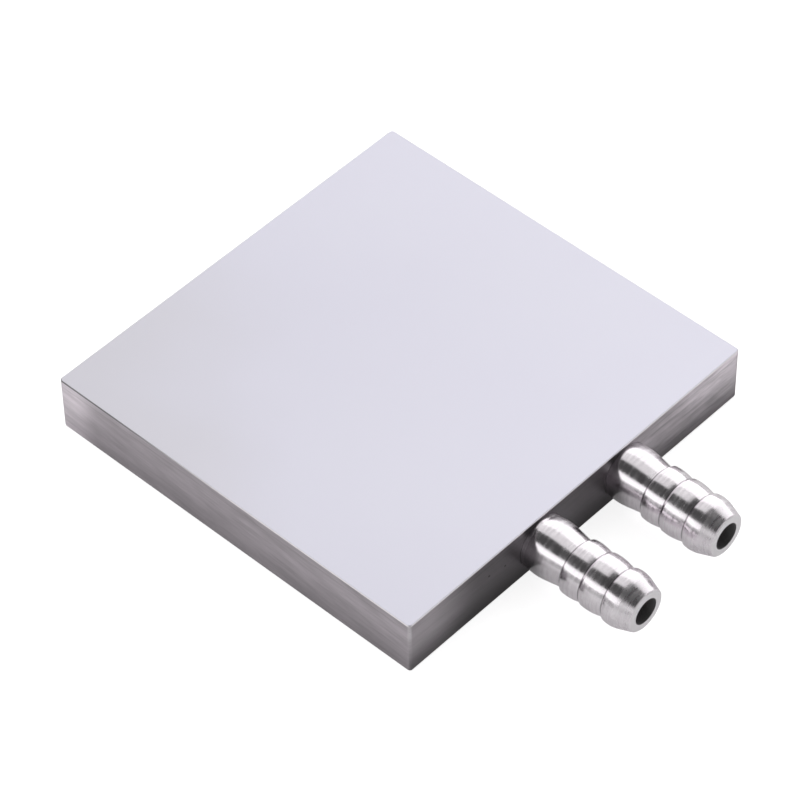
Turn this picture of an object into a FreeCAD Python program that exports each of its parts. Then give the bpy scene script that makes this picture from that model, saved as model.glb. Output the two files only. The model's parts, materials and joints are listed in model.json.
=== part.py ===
import FreeCAD, Part
import os
import Sketcher

# Liquid cooling cold plate: a milled aluminium tray with a serpentine coolant channel,
# a brazed cover, and two turned hose nozzles pressed into one side face.
#
# Frame: origin at the centre of the bottom face, +X the way the nozzles point,
# +Y along the nozzle face, +Z up to the cooling face.  Millimetres.

SIZES = [
    # plate
    ("plate_length", 80.0, "along X, from the rear face to the nozzle face"),
    ("plate_width", 82.0, "along Y"),
    ("tray_height", 10.0, "the milled tray"),
    ("cover_thickness", 1.5, "the brazed cover"),
    ("corner_radius", 0.6, "upright corners"),
    ("bottom_round", 0.5, "lower edges"),
    ("edge_break", 0.15, "upper edges"),
    # coolant channel
    ("channel_width", 7.0, "diameter of the cutter that mills it"),
    ("channel_floor", 2.0, "metal left under the channel"),
    ("side_wall", 3.5, "metal left beside the channel"),
    ("header_rib", 2.5, "rib between the passes and the headers"),
    ("channel_loops", 4, "each loop is one pass out and one pass back"),
    # ports
    ("port_pitch", 21.0, "between the two nozzle axes"),
    ("port_offset", 0.95, "the pair sits this far off the middle, towards +Y"),
    ("port_wall", 5.0, "metal that holds each spigot"),
    ("inlet_seat", 0.2, "depth of the inlet's spot face"),
    ("outlet_seat", 0.85, "depth of the outlet's spot face"),
    ("seat_clearance", 0.04, "round each nozzle in its spot face"),
    # nozzles, turned about their own axis
    ("bore_radius", 2.5, "straight through"),
    ("spigot_radius", 3.6, "pressed into the tray"),
    ("spigot_length", 5.0, "behind the shoulder"),
    ("shoulder_spare", 0.15, "straight shoulder left outside the deeper spot face"),
    ("swell_place", 3.0, "fullest part of the shank, from the shoulder"),
    ("swell_radius", 5.2, "over the fullest part of the shank"),
    ("swell_round", 10.0, "rounding over it"),
    ("shank_length", 8.2, "shoulder to the first notch"),
    ("notch_radius", 4.5, "at the end of the shank"),
    ("lip_run", 0.5, "steep rise from a notch, along the nozzle"),
    ("crest_run", 1.5, "from a notch to the crest of its barb"),
    ("crest_radius", 5.17, "over the first two barbs"),
    ("first_round", 8.5, "rounding over the first barb"),
    ("second_round", 9.5, "rounding over the second barb"),
    ("first_barb", 4.15, "length"),
    ("second_barb", 4.75, "length"),
    ("nose_run", 1.4, "from the last notch to its crest"),
    ("nose_radius", 5.18, "over the last barb"),
    ("nose_round", 5.3, "rounding over it"),
    ("nose_barb", 5.7, "length"),
    ("tip_radius", 4.0, "outside of the end ring"),
    ("tip_bevel", 0.2, "outer edge of the end ring"),
]


def make_sheet(doc):
    """The driving sizes, one alias each."""
    sheet = doc.addObject("Spreadsheet::Sheet", "sizes")
    for row, (alias, value, note) in enumerate(SIZES, start=1):
        sheet.set("A%d" % row, alias)
        sheet.set("B%d" % row, str(value))
        sheet.set("C%d" % row, note)
        sheet.setAlias("B%d" % row, alias)
    doc.recompute()
    return sheet


def with_sheet(formula):
    """Write each alias in a formula as a reference to the sheet."""
    words = formula.split(" ")
    names = {alias for alias, value, note in SIZES}
    return " ".join("sizes." + word if word in names else word for word in words)


def number(thing, formula):
    """What a formula is worth now."""
    value = thing.evalExpression(with_sheet(formula))
    return float(getattr(value, "Value", value))


def bind(thing, prop, formula):
    """Tie one property to a formula of the sheet."""
    thing.setExpression(prop, with_sheet(formula))


# Places worked out from the driving sizes.
HALF_LENGTH = "plate_length / 2"
HALF_WIDTH = "plate_width / 2"
PLATE_TOP = "( tray_height + cover_thickness )"
AXIS_HEIGHT = PLATE_TOP + " / 2"
INLET_Y = "( port_offset - port_pitch / 2 )"
OUTLET_Y = "( port_offset + port_pitch / 2 )"
CUTTER = "channel_width / 2"
FIRST_PASS_Y = "( side_wall + " + CUTTER + " - " + HALF_WIDTH + " )"
PASS_SPAN = "( plate_width - 2 * side_wall - channel_width )"
PASS_PITCH = "( " + PASS_SPAN + " / ( 2 * channel_loops - 1 ) )"
REAR_X = "( side_wall + " + CUTTER + " - " + HALF_LENGTH + " )"
HEADER_X = "( " + HALF_LENGTH + " - port_wall - " + CUTTER + " )"
FRONT_X = "( " + HEADER_X + " - channel_width - header_rib )"
SHOULDER_LENGTH = "( max( inlet_seat ; outlet_seat ) + shoulder_spare )"
SHOULDER_RADIUS = (
    "( swell_radius - swell_round + sqrt( swell_round ^ 2 - ( swell_place - "
    + SHOULDER_LENGTH + " ) ^ 2 ) )"
)


def new_body(doc, label):
    body = doc.addObject("PartDesign::Body", label)
    body.Label = label
    return body


def origin_part(body, role):
    """One of the body's own origin planes or axes."""
    return next(part for part in body.Origin.OriginFeatures if part.Role == role)


def new_sketch(body, name, plane, shift="0"):
    """A sketch on one of the body's origin planes, moved off it along its normal."""
    sketch = body.newObject("Sketcher::SketchObject", name)
    sketch.AttachmentSupport = [(origin_part(body, plane), "")]
    sketch.MapMode = "FlatFace"
    if shift != "0":
        bind(sketch, "AttachmentOffset.Base.z", shift)
    return sketch


def tie(sketch, kind, geometry, position, formula):
    """Hold one coordinate of a sketch point at a formula."""
    value = number(sketch, formula)
    index = sketch.addConstraint(Sketcher.Constraint(kind, -1, 1, geometry, position, value))
    bind(sketch, "Constraints[%d]" % index, formula)


def tie_point(sketch, geometry, position, point):
    tie(sketch, "DistanceX", geometry, position, point[0])
    tie(sketch, "DistanceY", geometry, position, point[1])


def tie_radius(sketch, geometry, formula):
    value = number(sketch, formula)
    index = sketch.addConstraint(Sketcher.Constraint("Radius", geometry, value))
    bind(sketch, "Constraints[%d]" % index, formula)


def vector(sketch, point):
    return FreeCAD.Vector(number(sketch, point[0]), number(sketch, point[1]), 0)


def add_line(sketch, start, end):
    return sketch.addGeometry(Part.LineSegment(vector(sketch, start), vector(sketch, end)))


def add_circle(sketch, centre, radius):
    """A circle with its centre and radius tied to the sheet."""
    shape = Part.Circle(vector(sketch, centre), FreeCAD.Vector(0, 0, 1), number(sketch, radius))
    circle = sketch.addGeometry(shape)
    tie_point(sketch, circle, 3, centre)
    tie_radius(sketch, circle, radius)


def add_slot(sketch, start, end):
    """The path of the channel cutter from one centre to another, round at both ends."""
    a = vector(sketch, start)
    b = vector(sketch, end)
    radius = number(sketch, CUTTER)
    along = (b - a).normalize()
    side = FreeCAD.Vector(-along.y, along.x, 0) * radius
    cap_b = sketch.addGeometry(Part.Arc(b - side, b + along * radius, b + side))
    back = sketch.addGeometry(Part.LineSegment(b + side, a + side))
    cap_a = sketch.addGeometry(Part.Arc(a + side, a - along * radius, a - side))
    forth = sketch.addGeometry(Part.LineSegment(a - side, b - side))
    for first, second in ((cap_b, back), (back, cap_a), (cap_a, forth), (forth, cap_b)):
        sketch.addConstraint(Sketcher.Constraint("Tangent", first, 2, second, 1))
    sketch.addConstraint(Sketcher.Constraint("Equal", cap_a, cap_b))
    tie_radius(sketch, cap_a, CUTTER)
    tie_point(sketch, cap_a, 3, start)
    tie_point(sketch, cap_b, 3, end)


def add_plate_outline(sketch):
    """The plate's rectangle with its small corner radius."""
    x = number(sketch, HALF_LENGTH)
    y = number(sketch, HALF_WIDTH)
    r = number(sketch, "corner_radius")
    sides = []
    corners = []
    for sx, sy in ((1, 1), (-1, 1), (-1, -1), (1, -1)):
        turn = sx * sy
        centre = FreeCAD.Vector(sx * (x - r), sy * (y - r), 0)
        reach_x = FreeCAD.Vector(sx * r, 0, 0)
        reach_y = FreeCAD.Vector(0, sy * r, 0)
        middle = (reach_x + reach_y) * 0.5 ** 0.5
        ends = (reach_x, reach_y) if turn > 0 else (reach_y, reach_x)
        arc = Part.Arc(centre + ends[0], centre + middle, centre + ends[1])
        corners.append((sketch.addGeometry(arc), centre + ends[0], centre + ends[1]))
    for index, (corner, start, end) in enumerate(corners):
        following = corners[(index + 1) % 4]
        side = sketch.addGeometry(Part.LineSegment(end, following[1]))
        sketch.addConstraint(Sketcher.Constraint("Tangent", corner, 2, side, 1))
        sketch.addConstraint(Sketcher.Constraint("Tangent", side, 2, following[0], 1))
        sketch.addConstraint(Sketcher.Constraint("Horizontal" if index % 2 == 0 else "Vertical", side))
        if index:
            sketch.addConstraint(Sketcher.Constraint("Equal", corners[0][0], corner))
        sides.append(side)
    tie_radius(sketch, corners[0][0], "corner_radius")
    tie(sketch, "DistanceY", sides[0], 1, HALF_WIDTH)
    tie(sketch, "DistanceX", sides[1], 1, "-1 * " + HALF_LENGTH)
    tie(sketch, "DistanceY", sides[2], 1, "-1 * " + HALF_WIDTH)
    tie(sketch, "DistanceX", sides[3], 1, HALF_LENGTH)


def pad_plate(body, height, shift="0"):
    """The plate's outline, padded upwards."""
    sketch = new_sketch(body, body.Label + "_outline", "XY_Plane", shift)
    add_plate_outline(sketch)
    pad = body.newObject("PartDesign::Pad", body.Label + "_blank")
    pad.Profile = sketch
    bind(pad, "Length", height)
    body.Document.recompute()
    return pad


def ring_edges(feature, height):
    """The edges of a feature that lie in one level plane."""
    names = []
    for index, edge in enumerate(feature.Shape.Edges, start=1):
        box = edge.BoundBox
        if abs(box.ZMin - height) < 1e-4 and abs(box.ZMax - height) < 1e-4:
            names.append("Edge%d" % index)
    return names


def cut_pocket(body, name, sketch, depth):
    """A pocket of a given depth, proved to take metal away."""
    before = body.Shape.Volume
    pocket = body.newObject("PartDesign::Pocket", name)
    pocket.Profile = sketch
    bind(pocket, "Length", depth)
    body.Document.recompute()
    assert pocket.Shape.Volume < before - 1e-6, name
    return pocket


def mill(body, name, slots):
    """Cut the channel along some cutter paths, from the tray's top down to its floor."""
    sketch = new_sketch(body, name + "_path", "XY_Plane", "tray_height")
    for start, end in slots:
        add_slot(sketch, start, end)
    return cut_pocket(body, name, sketch, "tray_height - channel_floor")


def repeat_along_width(body, name, feature, copies, spacing):
    """Repeat a cut along +Y."""
    pattern = body.newObject("PartDesign::LinearPattern", name)
    pattern.Originals = [feature]
    pattern.Direction = (origin_part(body, "Y_Axis"), [""])
    bind(pattern, "Occurrences", copies)
    bind(pattern, "Length", "( " + copies + " - 1 ) * " + spacing)
    body.Tip = pattern
    body.Document.recompute()
    return pattern


def mill_channel(body):
    """The coolant's way: inlet header, passes joined by turns at both ends, outlet header."""
    last_pass_y = "( " + FIRST_PASS_Y + " + " + PASS_SPAN + " )"
    second_y = "( " + FIRST_PASS_Y + " + " + PASS_PITCH + " )"
    third_y = "( " + FIRST_PASS_Y + " + 2 * " + PASS_PITCH + " )"
    passes = mill(body, "channel_pass", [((REAR_X, FIRST_PASS_Y), (FRONT_X, FIRST_PASS_Y))])
    repeat_along_width(body, "channel_passes", passes, "( 2 * channel_loops )", PASS_PITCH)
    rear = mill(body, "rear_turn", [((REAR_X, FIRST_PASS_Y), (REAR_X, second_y))])
    repeat_along_width(body, "rear_turns", rear, "channel_loops", "2 * " + PASS_PITCH)
    front = mill(body, "front_turn", [((FRONT_X, second_y), (FRONT_X, third_y))])
    repeat_along_width(body, "front_turns", front, "( channel_loops - 1 )", "2 * " + PASS_PITCH)
    lead = mill(body, "header_lead", [((FRONT_X, FIRST_PASS_Y), (HEADER_X, FIRST_PASS_Y))])
    repeat_along_width(body, "header_leads", lead, "2", PASS_SPAN)
    inlet_end = "( " + INLET_Y + " + spigot_radius )"
    outlet_end = "( " + OUTLET_Y + " - spigot_radius )"
    mill(body, "headers", [
        ((HEADER_X, FIRST_PASS_Y), (HEADER_X, inlet_end)),
        ((HEADER_X, last_pass_y), (HEADER_X, outlet_end)),
    ])


def cut_round(body, name, centre_y, radius, depth):
    """A round cut along X into the nozzle face."""
    sketch = new_sketch(body, name + "_circle", "YZ_Plane", HALF_LENGTH)
    add_circle(sketch, (centre_y, AXIS_HEIGHT), radius)
    return cut_pocket(body, name, sketch, depth)


def cut_spot_faces(body):
    """The shallow seats that the nozzles' shoulders sit in."""
    radius = SHOULDER_RADIUS + " + seat_clearance"
    cut_round(body, body.Label + "_inlet_seat", INLET_Y, radius, "inlet_seat")
    cut_round(body, body.Label + "_outlet_seat", OUTLET_Y, radius, "outlet_seat")


def make_base_plate(doc):
    """The tray, milled from the solid, with its lower edges rounded over."""
    body = new_body(doc, "base_plate")
    blank = pad_plate(body, "tray_height")
    rounding = body.newObject("PartDesign::Fillet", "lower_edges")
    rounding.Base = (blank, ring_edges(blank, 0.0))
    bind(rounding, "Radius", "bottom_round")
    doc.recompute()
    mill_channel(body)
    cut_round(body, "inlet_port", INLET_Y, "spigot_radius", "port_wall + " + CUTTER)
    cut_round(body, "outlet_port", OUTLET_Y, "spigot_radius", "port_wall + " + CUTTER)
    cut_spot_faces(body)
    return body


def make_cover_plate(doc):
    """The cover, brazed over the channel; its upper face takes the heat."""
    body = new_body(doc, "cover_plate")
    blank = pad_plate(body, "cover_thickness", "tray_height")
    edges = body.newObject("PartDesign::Chamfer", "upper_edges")
    edges.Base = (blank, ring_edges(blank, number(body, PLATE_TOP)))
    bind(edges, "Size", "edge_break")
    doc.recompute()
    cut_spot_faces(body)
    return body


def touch_point(outside, centre, radius):
    """Where a line from a point to the right of a circle touches the top of it."""
    towards = centre - outside
    reach = towards.Length
    length = (reach ** 2 - radius ** 2) ** 0.5
    along = towards.normalize()
    across = FreeCAD.Vector(along.y, -along.x, 0)
    return outside + (along * length + across * radius) * (length / reach)


def add_swell(sketch, start, crest, rounding, end):
    """An arc over a crest, from one place along the nozzle to another.

    An end given as a point is reached by a straight fall off the arc."""
    radius = number(sketch, rounding)
    top = vector(sketch, crest)
    centre = top - FreeCAD.Vector(0, radius, 0)

    def on_arc(place):
        x = number(sketch, place)
        return FreeCAD.Vector(x, centre.y + (radius ** 2 - (x - centre.x) ** 2) ** 0.5, 0)

    falls = isinstance(end, tuple)
    last = touch_point(vector(sketch, end), centre, radius) if falls else on_arc(end)
    arc = sketch.addGeometry(Part.Arc(last, top, on_arc(start)))
    tie_point(sketch, arc, 3, (crest[0], crest[1] + " - " + rounding))
    tie_radius(sketch, arc, rounding)
    tie(sketch, "DistanceX", arc, 2, start)
    if not falls:
        tie(sketch, "DistanceX", arc, 1, end)
        return (arc, 2), (arc, 1)
    fall = sketch.addGeometry(Part.LineSegment(last, vector(sketch, end)))
    sketch.addConstraint(Sketcher.Constraint("Tangent", arc, 1, fall, 1))
    tie_point(sketch, fall, 2, end)
    return (arc, 2), (fall, 2)


def join(sketch, end, start):
    sketch.addConstraint(Sketcher.Constraint("Coincident", *end, *start))


def add_rise(sketch, end, start):
    """The steep straight rise from one notch up to the lip of the next barb."""
    line = Part.LineSegment(sketch.getPoint(*end), sketch.getPoint(*start))
    rise = sketch.addGeometry(line)
    join(sketch, end, (rise, 1))
    join(sketch, (rise, 2), start)


def turned_outline(sketch):
    """Half of the nozzle's section: spigot, shoulder, swelling shank and three barbs."""
    notch_1 = "shank_length"
    notch_2 = notch_1 + " + first_barb"
    notch_3 = notch_2 + " + second_barb"
    tip = notch_3 + " + nose_barb"
    lip = " + lip_run"
    spigot_end = "-1 * spigot_length"
    corners = [
        (tip, "bore_radius"),
        (spigot_end, "bore_radius"),
        (spigot_end, "spigot_radius"),
        ("0", "spigot_radius"),
        ("0", SHOULDER_RADIUS),
        (SHOULDER_LENGTH, SHOULDER_RADIUS),
    ]
    swells = [
        (SHOULDER_LENGTH, ("swell_place", "swell_radius"), "swell_round",
         (notch_1, "notch_radius")),
        (notch_1 + lip, (notch_1 + " + crest_run", "crest_radius"), "first_round", notch_2),
        (notch_2 + lip, (notch_2 + " + crest_run", "crest_radius"), "second_round", notch_3),
        (notch_3 + lip, (notch_3 + " + nose_run", "nose_radius"), "nose_round",
         (tip, "tip_radius")),
    ]
    lines = [add_line(sketch, *ends) for ends in zip(corners, corners[1:])]
    for line, corner in zip(lines, corners):
        tie_point(sketch, line, 1, corner)
    for line, following in zip(lines, lines[1:]):
        join(sketch, (line, 2), (following, 1))
    turns = [add_swell(sketch, *swell) for swell in swells]
    join(sketch, (lines[-1], 2), turns[0][0])
    for (first, notch), (lip_point, last) in zip(turns, turns[1:]):
        add_rise(sketch, notch, lip_point)
    ring = add_line(sketch, (tip, "tip_radius"), corners[0])
    join(sketch, turns[-1][1], (ring, 1))
    join(sketch, (ring, 2), (lines[0], 1))


def tip_edge(feature):
    """The outer edge of the end ring."""
    reach = feature.Shape.BoundBox.XMax
    rings = []
    for index, edge in enumerate(feature.Shape.Edges, start=1):
        box = edge.BoundBox
        if abs(box.XMin - reach) < 1e-4 and abs(box.XMax - reach) < 1e-4:
            rings.append((box.YLength, "Edge%d" % index))
    return [max(rings)[1]]


def make_nozzle(doc, label, centre_y, seat):
    """One turned hose nozzle, its shoulder down on its spot face."""
    body = new_body(doc, label)
    sketch = new_sketch(body, label + "_section", "XY_Plane")
    turned_outline(sketch)
    turned = body.newObject("PartDesign::Revolution", label + "_turned")
    turned.Profile = sketch
    turned.ReferenceAxis = (sketch, ["H_Axis"])
    turned.Angle = 360
    doc.recompute()
    bevel = body.newObject("PartDesign::Chamfer", label + "_tip")
    bevel.Base = (turned, tip_edge(turned))
    bind(bevel, "Size", "tip_bevel")
    bind(body, "Placement.Base.x", HALF_LENGTH + " - " + seat)
    bind(body, "Placement.Base.y", centre_y)
    bind(body, "Placement.Base.z", AXIS_HEIGHT)
    doc.recompute()
    return body


def check(doc, bodies):
    """Stop if any object failed or any piece is not one sound solid."""
    for thing in doc.Objects:
        faults = [state for state in thing.State if state in ("Invalid", "Error")]
        assert not faults, (thing.Name, faults)
    for body in bodies:
        shape = body.Shape
        assert not shape.isNull() and shape.isValid() and len(shape.Solids) == 1, body.Label


def main():
    doc = FreeCAD.newDocument("cold_plate")
    make_sheet(doc)
    bodies = [
        make_base_plate(doc),
        make_cover_plate(doc),
        make_nozzle(doc, "inlet_nozzle", INLET_Y, "inlet_seat"),
        make_nozzle(doc, "outlet_nozzle", OUTLET_Y, "outlet_seat"),
    ]
    doc.recompute()
    check(doc, bodies)
    os.makedirs("parts", exist_ok=True)
    for body in bodies:
        body.Shape.exportStep("parts/%s.step" % body.Label)
        print(body.Label, "%.1f mm3" % body.Shape.Volume)


main()
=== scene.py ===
import json
import math

import bpy
from mathutils import Matrix, Vector


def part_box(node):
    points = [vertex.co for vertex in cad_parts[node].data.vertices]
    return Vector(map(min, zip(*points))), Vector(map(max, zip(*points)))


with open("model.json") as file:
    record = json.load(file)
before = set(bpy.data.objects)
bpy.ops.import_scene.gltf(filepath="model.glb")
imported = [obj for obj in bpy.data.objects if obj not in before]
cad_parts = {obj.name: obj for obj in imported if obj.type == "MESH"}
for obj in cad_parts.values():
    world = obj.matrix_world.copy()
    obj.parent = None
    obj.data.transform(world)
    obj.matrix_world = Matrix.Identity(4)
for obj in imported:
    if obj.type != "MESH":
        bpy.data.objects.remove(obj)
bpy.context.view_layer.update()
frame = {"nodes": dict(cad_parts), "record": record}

MM = 0.001

# ---------------------------------------------------------------- shader sums


class Value:
    """A number or colour on its way through a node tree, with ordinary arithmetic."""

    def __init__(self, tree, socket):
        self.tree = tree
        self.socket = socket

    def __add__(self, other):
        return self.tree.maths("ADD", self, other)

    def __radd__(self, other):
        return self.tree.maths("ADD", other, self)

    def __sub__(self, other):
        return self.tree.maths("SUBTRACT", self, other)

    def __rsub__(self, other):
        return self.tree.maths("SUBTRACT", other, self)

    def __mul__(self, other):
        return self.tree.maths("MULTIPLY", self, other)

    def __rmul__(self, other):
        return self.tree.maths("MULTIPLY", other, self)

    def __abs__(self):
        return self.tree.maths("ABSOLUTE", self)

    def root(self):
        return self.tree.maths("SQRT", self)

    def most(self, other):
        return self.tree.maths("MAXIMUM", self, other)


class Tree:
    """The nodes of a material or of the world, and the one method that adds a node."""

    def __init__(self, owner):
        owner.use_nodes = True
        self.nodes = owner.node_tree.nodes
        self.links = owner.node_tree.links

    def put(self, socket, item):
        """Link a value to a socket, or set a plain number or colour on it."""
        if isinstance(item, Value):
            self.links.new(item.socket, socket)
        else:
            socket.default_value = item

    def add(self, kind, settings=None, inputs=None, output=0):
        """A node of one kind: its settings first, then the values or links of its sockets."""
        node = self.nodes.new(kind)
        for name, setting in (settings or {}).items():
            setattr(node, name, setting)
        for key, item in (inputs or {}).items():
            self.put(node.inputs[key], item)
        return Value(self, node.outputs[output])

    def maths(self, operation, *terms):
        return self.add("ShaderNodeMath", {"operation": operation}, dict(enumerate(terms)))

    def parts(self, vector):
        """The x, y and z of a vector."""
        split = self.add("ShaderNodeSeparateXYZ", inputs={0: vector})
        return tuple(Value(self, socket) for socket in split.socket.node.outputs)

    def join(self, x, y, z):
        return self.add("ShaderNodeCombineXYZ", inputs={0: x, 1: y, 2: z})

    def noise(self, vector, scale, detail, rough=0.55):
        """Noise about 0.5; a scale of 1000 has one cell to a millimetre."""
        inputs = {"Vector": vector, "Scale": scale, "Detail": detail, "Roughness": rough}
        return self.add("ShaderNodeTexNoise", inputs=inputs)

    def fade(self, value, low, high, start=0.0, end=1.0):
        """Smoothly from start to end as the value goes from low to high."""
        inputs = {0: value, 1: low, 2: high, 3: start, 4: end}
        return self.add("ShaderNodeMapRange", {"interpolation_type": "SMOOTHSTEP"}, inputs)

    def blend(self, first, second, share):
        """From the first colour to the second."""
        settings = {"data_type": "RGBA", "clamp_factor": True}
        return self.add("ShaderNodeMix", settings, {0: share, 6: first, 7: second}, output=2)

    def shade(self, colour, amount):
        """A colour made darker or lighter by an amount about 1."""
        colour = colour if isinstance(colour, Value) else colour[:3]
        inputs = {0: colour, "Scale": amount}
        return self.add("ShaderNodeVectorMath", {"operation": "SCALE"}, inputs)


class Finish(Tree):
    """A material with one shader."""

    def __init__(self, name):
        self.material = bpy.data.materials.new(name)
        super().__init__(self.material)
        self.nodes.clear()
        self.shader = self.nodes.new("ShaderNodeBsdfPrincipled")
        out = self.nodes.new("ShaderNodeOutputMaterial")
        self.links.new(self.shader.outputs["BSDF"], out.inputs["Surface"])

    def look(self, **sockets):
        """Set or link the shader's sockets, with _ for a space in their names."""
        for name, item in sockets.items():
            self.put(self.shader.inputs[name.replace("_", " ")], item)

    def place(self):
        """The point on the object, in metres."""
        return self.add("ShaderNodeTexCoord", output="Object")

    def relief(self, height, depth, strength):
        """A bump whose height of 1 stands for a depth in metres."""
        inputs = {"Strength": strength, "Distance": depth, "Height": height}
        self.look(Normal=self.add("ShaderNodeBump", inputs=inputs))


def grey(level, rosy=0.0):
    """A grey, or with a share of 1 the purplish grey of brushed aluminium."""
    return (level * (1 + 0.085 * rosy), level, level * (1 + 0.07 * rosy), 1.0)


# ---------------------------------------------------------------- places, all from the frame

PLATE_LOW, TRAY_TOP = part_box("base_plate")
PLATE_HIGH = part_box("cover_plate")[1]
SEAM = TRAY_TOP.z
NEAREST_CORNER = PLATE_HIGH.x - PLATE_LOW.y  # x - y at the corner that faces the camera
NOZZLES = ("inlet_nozzle", "outlet_nozzle")
NOTCHES = (5.7 * MM, 10.45 * MM, 14.6 * MM)  # back from a nozzle's tip


def nozzle_axis(node):
    """(y, z) of a nozzle's centre line."""
    low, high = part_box(node)
    middle = (low + high) / 2
    return middle.y, middle.z


def bore_radius(node):
    """The nozzle's bore, from its mount in the record."""
    name = node.replace("nozzle", "bore")
    mount = next(m for m in frame["record"]["mounts"] if m["name"] == name)
    return mount["dims"]["r_mm"] * MM


# ---------------------------------------------------------------- plate finishes

LAVENDER = (0.785, 0.770, 0.870, 1.0)
PALE_LAVENDER = (0.815, 0.805, 0.890, 1.0)
CORNER_GREY = (0.765, 0.750, 0.810, 1.0)
PLAIN_SIDE_GREY = grey(0.505, 1)
# painted glint for the nearest corner
GLINT_GREY = grey(0.75, 0.5)
# painted highlight for the thin rim along the top edge
RIM_HIGHLIGHT = grey(1.0, 0.5)
CUT_WHITE = grey(1.0, 1)

CLOUD_SCALE = 26.0
SATIN_SCALE = 5200.0
FINE_LINE_SCALE = 2600.0
STROKE_SCALE = 950.0
SMEAR_SCALE = 330.0
PIT_SCALE = 260.0
CLOUD_SHIFT = 60 * MM  # how far the clouds move the border of the grey corner
SATIN_DEPTH = 2.0e-6
BRUSH_DEPTH = 5.0e-6

COVER_SIDE_ROUGH = 0.40
COVER_TOP_ROUGH = 0.47
TRAY_ROUGH = 0.30


def satin_cover():
    """Fine satin aluminium with a lavender cast, greyer towards one corner; brushed sides."""
    f = Finish("satin_cover")
    spot = f.place()
    x, y, z = f.parts(spot)
    cloud = f.noise(spot, CLOUD_SCALE, 2.0)
    satin = f.noise(spot, SATIN_SCALE, 2.0)
    on_top = f.fade(z, PLATE_HIGH.z - 0.10 * MM, PLATE_HIGH.z - 0.02 * MM)
    along = x * 0.65 + y + (cloud - 0.5) * CLOUD_SHIFT
    from_corner = f.fade(along, -64 * MM, -18 * MM)
    ahead = f.fade(x - y * 0.8, -30 * MM, 50 * MM, 0.98, 1.03)
    lavender = f.blend(LAVENDER, PALE_LAVENDER, cloud)
    top = f.shade(f.blend(CORNER_GREY, lavender, from_corner), ahead)
    grain = side_grain(f, x, y, z)
    rough = f.fade(on_top, 0.0, 1.0, COVER_SIDE_ROUGH, COVER_TOP_ROUGH)
    f.look(
        Metallic=1.0,
        Base_Color=f.blend(side_colour(f, x, y, z, grain), top, on_top),
        Roughness=rough + (satin - 0.5) * 0.04,
    )
    f.relief(satin * on_top + grain * (1.0 - on_top), SATIN_DEPTH, 0.35)
    return f.material


def brushed_tray():
    """The tray: brushed aluminium, with the dark seam under the cover and a few pits."""
    f = Finish("brushed_tray")
    spot = f.place()
    x, y, z = f.parts(spot)
    grain = side_grain(f, x, y, z)
    seam = f.fade(abs(z - SEAM), 0.03 * MM, 0.12 * MM, 0.70, 1.0)
    pit = pits(f, spot, x)
    f.look(
        Metallic=1.0,
        Base_Color=f.shade(side_colour(f, x, y, z, grain), seam * (1.0 - pit * 0.7)),
        Roughness=TRAY_ROUGH + grain * 0.18,
    )
    f.relief(grain - pit, BRUSH_DEPTH, 0.6)
    return f.material


def side_grain(f, x, y, z):
    """Brush lines that run level round the plate, in long and short strokes, 0 to 1."""
    fine = f.noise(f.join(x * 0.03, y * 0.03, z), FINE_LINE_SCALE, 3.0, 0.7)
    slant = z + x * 0.08 + y * 0.06
    strokes = f.noise(f.join(x * 0.12, y * 0.12, slant), STROKE_SCALE, 3.0, 0.65)
    smears = f.noise(f.join(x * 0.30, y * 0.30, slant), SMEAR_SCALE, 3.0, 0.6)
    return fine * 0.25 + strokes * 0.40 + smears * 0.35


def side_colour(f, x, y, z, grain):
    """Brushed grey on the upright faces, with a painted glint at the nearest corner.

    A thin rim along the top edge has a painted highlight near the nozzles and painted shade
    away from them."""
    at_front = f.fade(x, PLATE_HIGH.x - 0.5 * MM, PLATE_HIGH.x - 0.1 * MM)
    faces = f.blend(plain_sides(f, x, z, grain), nozzle_face(f, y, z, grain), at_front)
    # painted highlight: a bright glint down the nearest corner
    faces = f.blend(faces, GLINT_GREY, corner_glint(f, x, y, z, grain))
    # painted highlight and shade on the top edge's thin rim: bright near the nozzles, dark
    # away from them
    rim = f.shade(RIM_HIGHLIGHT, f.fade(x, -30 * MM, 5 * MM, 0.20, 0.95))
    on_rim = f.fade(z, PLATE_HIGH.z - 0.42 * MM, PLATE_HIGH.z - 0.18 * MM)
    return f.blend(faces, rim, on_rim)


def plain_sides(f, x, z, grain):
    """The faces without nozzles: grey, with painted shade low down, and paler near the end at
    -X.
    """
    end = f.fade(x, PLATE_LOW.x + 3 * MM, PLATE_LOW.x + 9 * MM, 1.50, 1.0)
    end_edge = f.fade(x, PLATE_LOW.x, PLATE_LOW.x + 0.9 * MM, 0.72, 1.0)
    # painted shade: darker towards the floor
    height = f.fade(z, 0.2 * MM, 9 * MM, 0.80, 1.08)
    return f.shade(PLAIN_SIDE_GREY, end * end_edge * height * (0.28 + grain * 1.44))


def nozzle_face(f, y, z, grain):
    """Dull as far as the +Y nozzle, where the dark tone is a painted reflection, and bright
    beyond it with bolder lines, partly a rougher cut and partly painted light. Painted shade
    darkens it low down.
    """
    # painted dark reflection: the face is painted dull from near the -Y end to the +Y nozzle
    near_end = f.fade(y, -37 * MM, -24 * MM, 0.41, 0.16)
    beyond = f.fade(y, 7 * MM, 17 * MM, 0.0, 0.21) + f.fade(y, 17 * MM, 38 * MM, 0.0, 0.19)
    # painted light: brighter higher up on the stretch beyond the +Y nozzle
    upper = f.fade(z, 4 * MM, 9 * MM, 1.0, 1.28)
    # painted shade: darker towards the floor
    low = f.fade(z, 0.2 * MM, 7 * MM, 0.36, 1.05)
    far_edge = f.fade(y, PLATE_HIGH.y - 1.0 * MM, PLATE_HIGH.y - 0.2 * MM, 1.0, 0.70)
    bite = f.fade(y, 0.0, 20 * MM, 1.0, 2.9)
    level = (near_end + beyond * upper) * low * far_edge
    return f.shade(CUT_WHITE, level * (1.0 + (grain - 0.5) * bite))


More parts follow.
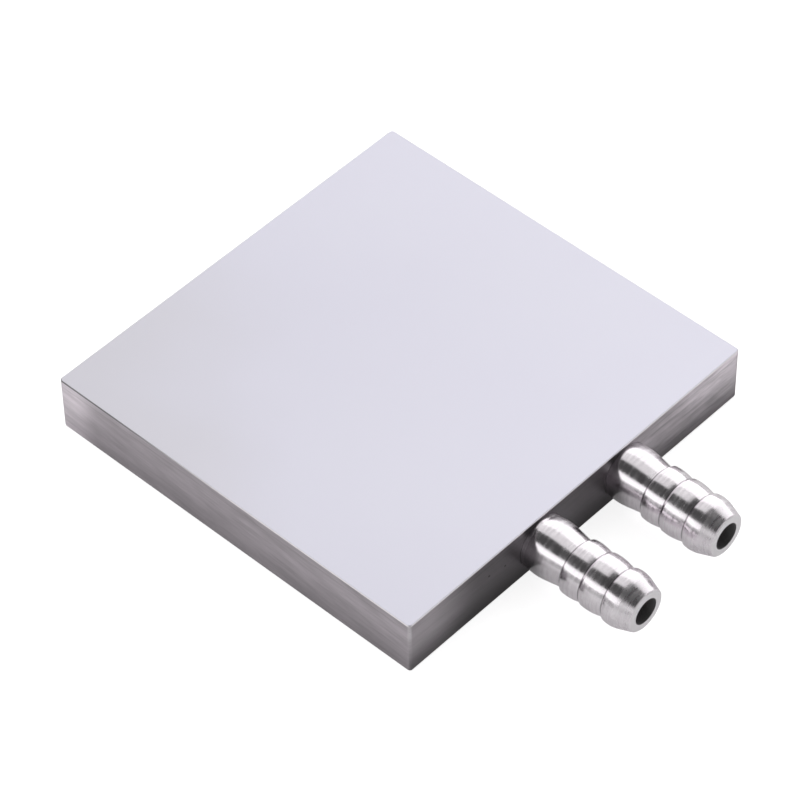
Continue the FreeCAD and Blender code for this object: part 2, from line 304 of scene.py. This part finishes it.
def corner_glint(f, x, y, z, grain):
    """A painted highlight: a bright line down the nearest corner, which fades towards the
    floor, 0 to 1.
    """
    line = f.fade(x - y, NEAREST_CORNER - 0.62 * MM, NEAREST_CORNER - 0.36 * MM)
    height = f.fade(z, 5 * MM, 10.5 * MM, 0.10, 0.75)
    return line * height * f.fade(grain, 0.35, 0.60, 0.5, 1.0)


def pits(f, spot, x):
    """A few tiny dark pits left in the nozzle face, 1 inside a pit."""
    inputs = {"Vector": spot, "Scale": PIT_SCALE, "Randomness": 1.0}
    distance = f.add("ShaderNodeTexVoronoi", inputs=inputs)
    on_face = f.fade(x, PLATE_HIGH.x - 0.3 * MM, PLATE_HIGH.x - 0.1 * MM)
    return f.fade(distance, 0.050, 0.075, 1.0, 0.0) * on_face


# ---------------------------------------------------------------- nozzle finish

DULL_TURNED = grey(0.76, 0.8)
BRIGHT_TURNED = grey(0.97, 0.5)
END_RING = grey(0.90, 0.3)
# painted shade for the deep bore
BORE_SHADE = grey(0.33, 0.3)

FINE_RING_SCALE = 6500.0
WIDE_RING_SCALE = 2000.0
SCUFF_SCALE = 900.0
TURNING_DEPTH = 11.0e-6
TURNED_ROUGH = 0.15
END_ROUGH = 0.40


def turned_nozzle(node):
    """Bright turned aluminium: fine rings round the nozzle, a flat end ring and painted shade
    in the bore.

    The notches have painted shade in their creases. The root beside the plate has painted
    shade underneath, and is rougher on its +Y side."""
    f = Finish("turned_" + node)
    axis_y, axis_z = nozzle_axis(node)
    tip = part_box(node)[1].x
    bore = bore_radius(node)
    x, y, z = f.parts(f.place())
    dy = y - axis_y
    dz = z - axis_z
    radius = (dy * dy + dz * dz).root()
    fine_rings = f.noise(f.join(x, dy * 0.03, dz * 0.03), FINE_RING_SCALE, 2.0, 0.7)
    wide_rings = f.noise(f.join(x, dy * 0.10, dz * 0.10), WIDE_RING_SCALE, 3.0, 0.65)
    scuffs = f.noise(f.join(x * 0.6, dy, dz), SCUFF_SCALE, 3.0, 0.6)
    wear = wide_rings * 0.7 + scuffs * 0.3
    in_bore = f.fade(radius, bore + 0.02 * MM, bore + 0.08 * MM, 1.0, 0.0)
    on_end = f.fade(x, tip - 0.03 * MM, tip - 0.01 * MM)
    at_root = f.fade(x, PLATE_HIGH.x + 2.5 * MM, PLATE_HIGH.x + 6 * MM, 1.0, 0.0)

    body = f.blend(DULL_TURNED, BRIGHT_TURNED, f.fade(wear, 0.30, 0.70))
    # painted shade under the nozzle's root beside the plate
    root_shade = at_root * f.fade(dz, 0.0, 3.2 * MM, 0.55, 0.0)
    body = f.shade(body, 1.0 - root_shade)
    for notch in NOTCHES:
        # painted shade along each notch's crease
        notch_shade = f.fade(abs(x - (tip - notch)), 0.04 * MM, 0.16 * MM, 0.50, 1.0)
        body = f.shade(body, notch_shade)
    colour = f.blend(body, END_RING, on_end)
    # painted shade inside the bore
    colour = f.blend(colour, BORE_SHADE, in_bore)

    frosted = at_root * f.fade(dy, 0.5 * MM, 3 * MM, 0.0, 0.30)
    nose = f.fade(x, tip - 4.5 * MM, tip - 2 * MM, 0.0, 0.08)
    worn = f.fade(wear, 0.35, 0.70, 0.0, 0.13)
    turned = TURNED_ROUGH + worn + nose + frosted + in_bore * 0.4
    f.look(Metallic=1.0, Base_Color=colour, Roughness=turned.most(on_end * END_ROUGH))
    f.relief(fine_rings * 0.4 + wear * 0.6, TURNING_DEPTH, 0.8)
    return f.material


def dress(node, material):
    """Give a CAD node its finish."""
    piece = frame["nodes"][node]
    piece.data.materials.clear()
    piece.data.materials.append(material)


# ---------------------------------------------------------------- studio

CAMERA_AIM = Vector((1.9, -2.2, 5.75)) * MM
CAMERA_DISTANCE = 676.9 * MM
CAMERA_AZIMUTH = math.radians(43.46)
CAMERA_ELEVATION = math.radians(47.27)
CAMERA_ROLL = math.radians(-0.87)
CAMERA_LENS = 180.6
CAMERA_SENSOR = 36.0
CAMERA_CLIP = (0.01, 20.0)

LAMP_DISTANCE = 0.9
LONG_BOXES = (  # name, turn and spread in degrees, left and right end, brightness
    ("back_box", 35, 54, -1.1, 0.25, 1.15),
    ("top_box", 80, 35, -1.1, 0.08, 0.72),
    ("front_box", 151, 23, -1.1, 0.28, 1.10),
)
SIDE_BOX = (124, 28, 0.42, 0.8)  # azimuth and elevation in degrees, size, brightness

FLOOR_HALF = 1.5
FLOOR_GAP = 0.02 * MM
FLOOR_GREY = grey(0.88)
FLOOR_ROUGH = 0.9
FLOOR_SEEN = 0.82  # what it gives off to the camera, and below what it does to gloss and glass
FLOOR_MIRRORED = 0.20

LOW_WALL = (0.05, 0.65, 0.45, 0.055)  # from height to height of the look, level to level
END_WALLS = (0.60, 0.85, 0.055, 0.45)  # the same by how far the look is along X


def direction(azimuth, elevation):
    """A unit vector from the object towards a place in the studio."""
    flat = math.cos(elevation)
    return Vector((math.sin(azimuth) * flat, -math.cos(azimuth) * flat, math.sin(elevation)))


def make_camera():
    camera = bpy.data.objects.new("camera", bpy.data.cameras.new("camera"))
    bpy.context.scene.collection.objects.link(camera)
    back = direction(CAMERA_AZIMUTH, CAMERA_ELEVATION)
    camera.location = CAMERA_AIM + back * CAMERA_DISTANCE
    upright = (-back).to_track_quat("-Z", "Y").to_matrix()
    camera.rotation_euler = (upright @ Matrix.Rotation(CAMERA_ROLL, 3, "Z")).to_euler()
    camera.data.lens = CAMERA_LENS
    camera.data.sensor_width = CAMERA_SENSOR
    camera.data.clip_start, camera.data.clip_end = CAMERA_CLIP
    bpy.context.scene.camera = camera


def add_lamp(name, width, height, brightness):
    """A soft box; a brightness of 1 looks white in a mirror."""
    lamp = bpy.data.objects.new(name, bpy.data.lights.new(name, "AREA"))
    bpy.context.scene.collection.objects.link(lamp)
    lamp.data.shape = "RECTANGLE"
    lamp.data.size = width
    lamp.data.size_y = height
    lamp.data.energy = brightness * math.pi * width * height
    return lamp


def make_long_box(name, turn, spread, left, right, brightness):
    """A long soft box that lies along X, at a turn about X from the +Y side towards the top.

    Seen from the object it covers the spread."""
    turn = math.radians(turn)
    height = 2 * LAMP_DISTANCE * math.tan(math.radians(spread) / 2)
    lamp = add_lamp(name, right - left, height, brightness)
    middle = (left + right) / 2
    lamp.location = (middle, LAMP_DISTANCE * math.cos(turn), LAMP_DISTANCE * math.sin(turn))
    lamp.rotation_euler = (turn - math.pi / 2, 0.0, 0.0)


def make_side_box(azimuth, elevation, size, brightness):
    """A square soft box that faces the object from one side."""
    place = direction(math.radians(azimuth), math.radians(elevation))
    lamp = add_lamp("side_box", size, size, brightness)
    lamp.location = place * LAMP_DISTANCE
    lamp.rotation_euler = place.to_track_quat("Z", "Y").to_euler()


def make_floor():
    """A pale floor that takes the object's soft shadow."""
    mesh = bpy.data.meshes.new("floor")
    half = FLOOR_HALF
    corners = [(-half, -half, 0), (half, -half, 0), (half, half, 0), (-half, half, 0)]
    mesh.from_pydata(corners, [], [(0, 1, 2, 3)])
    mesh.materials.append(pale_floor())
    floor = bpy.data.objects.new("floor", mesh)
    bpy.context.scene.collection.objects.link(floor)
    floor.location.z = PLATE_LOW.z - FLOOR_GAP


def pale_floor():
    """It looks white to the camera, and pale in metal and glass, and still takes a shadow."""
    f = Finish("pale_floor")
    camera, gloss, glass = (
        f.add("ShaderNodeLightPath", output=ray)
        for ray in ("Is Camera Ray", "Is Glossy Ray", "Is Transmission Ray")
    )
    level = (camera * FLOOR_SEEN).most(gloss.most(glass) * FLOOR_MIRRORED)
    f.look(
        Base_Color=FLOOR_GREY,
        Roughness=FLOOR_ROUGH,
        Specular_IOR_Level=0.0,
        Emission_Color=f.join(level, level, level),
        Emission_Strength=1.0,
    )
    return f.material


def make_world():
    """A dim room, paler low down and at its two ends where its walls are."""
    world = bpy.data.worlds.new("studio")
    bpy.context.scene.world = world
    room = Tree(world)
    x, _, z = room.parts(room.add("ShaderNodeTexCoord", output="Generated"))
    level = room.fade(z, *LOW_WALL).most(room.fade(abs(x), *END_WALLS))
    background = room.nodes["Background"]
    room.put(background.inputs["Color"], grey(1.0))
    room.put(background.inputs["Strength"], level)


def make_studio():
    make_world()
    make_floor()
    make_camera()
    for box in LONG_BOXES:
        make_long_box(*box)
    make_side_box(*SIDE_BOX)
    bpy.context.scene.view_settings.view_transform = "Standard"


def main():
    dress("cover_plate", satin_cover())
    dress("base_plate", brushed_tray())
    for node in NOZZLES:
        dress(node, turned_nozzle(node))
    make_studio()


main()
